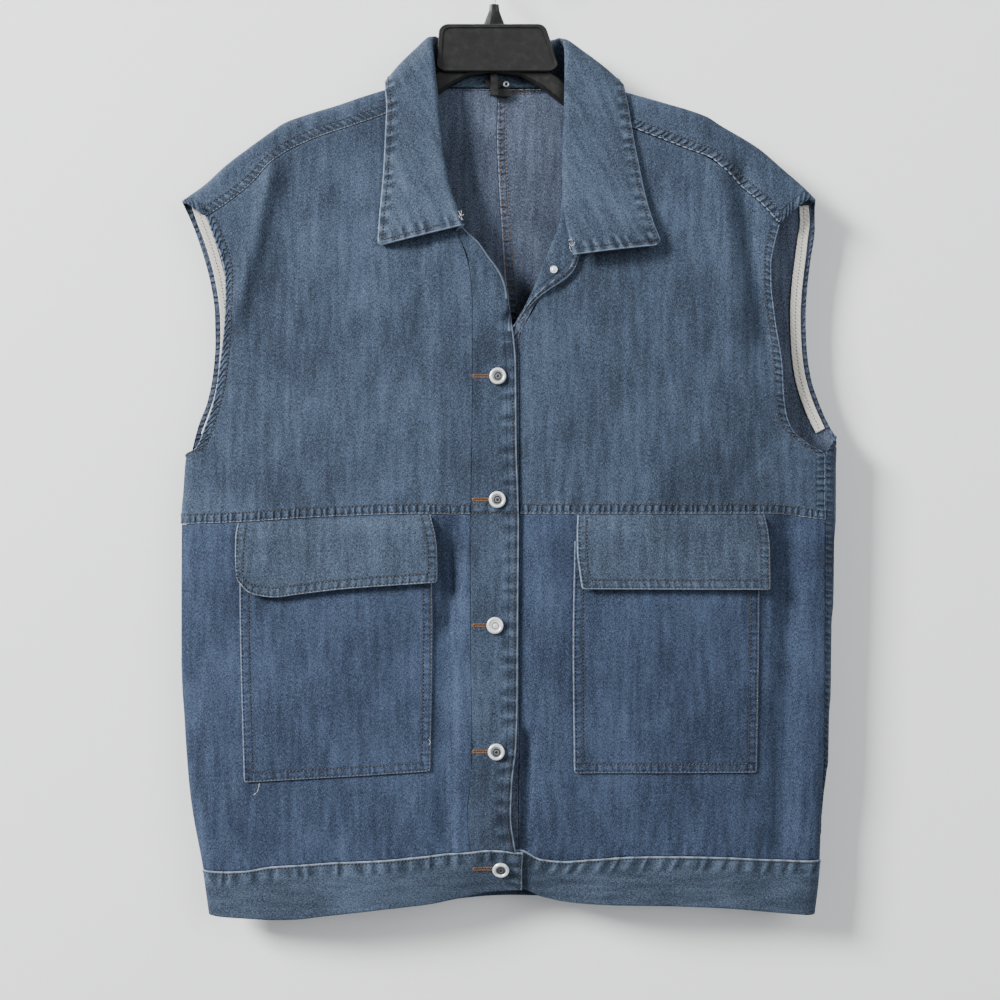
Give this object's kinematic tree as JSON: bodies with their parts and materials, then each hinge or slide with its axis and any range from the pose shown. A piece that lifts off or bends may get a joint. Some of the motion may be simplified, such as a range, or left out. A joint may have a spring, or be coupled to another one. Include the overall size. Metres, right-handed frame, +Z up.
{
  "type": "sleeveless denim utility vest on a clothes hanger",
  "caption": "Sleeveless denim button-front vest with collar, flap patch pockets and waistband, hung flat on a hanger with a wire hook.",
  "frame": {"origin": "where a rail holds the hanger: the top of the space inside the wire hook's loop", "axes": "+Z up, +X towards the viewer's right (the wearer's left), +Y away from the viewer towards the vest's back, so the buttons face -Y"},
  "size_m": [0.6143, 0.0527, 0.9217],
  "materials": {
    "denim": "washed mid-blue denim twill with pale worn seam edges",
    "denim_pale": "the same denim, doubled and more worn",
    "white_tape": "woven cotton binding tape",
    "button_metal": "nickel-plated shank button with a dark sunken middle",
    "black_plastic": "satin black injection-moulded plastic",
    "bright_wire": "bright plated steel wire"
  },
  "bodies": {
    "root": {"front_lower_left": "denim", "front_lower_right": "denim", "front_upper_left": "denim", "front_upper_right": "denim", "back_left": "denim", "back_right": "denim", "placket_top": "denim", "placket_under": "denim", "pocket_left": "denim", "pocket_right": "denim", "waistband": "denim", "collar": "denim_pale", "flap_left": "denim_pale", "flap_right": "denim_pale", "armhole_tape_back_left": "white_tape", "armhole_tape_back_right": "white_tape", "armhole_tape_front_left": "white_tape", "armhole_tape_front_right": "white_tape", "button_1": "button_metal", "button_2": "button_metal", "button_3": "button_metal", "button_4": "button_metal", "button_5": "button_metal", "button_top": "button_metal", "hanger_body": "black_plastic", "hanger_plate": "black_plastic", "hanger_hook": "bright_wire"}
  },
  "joints": []
}
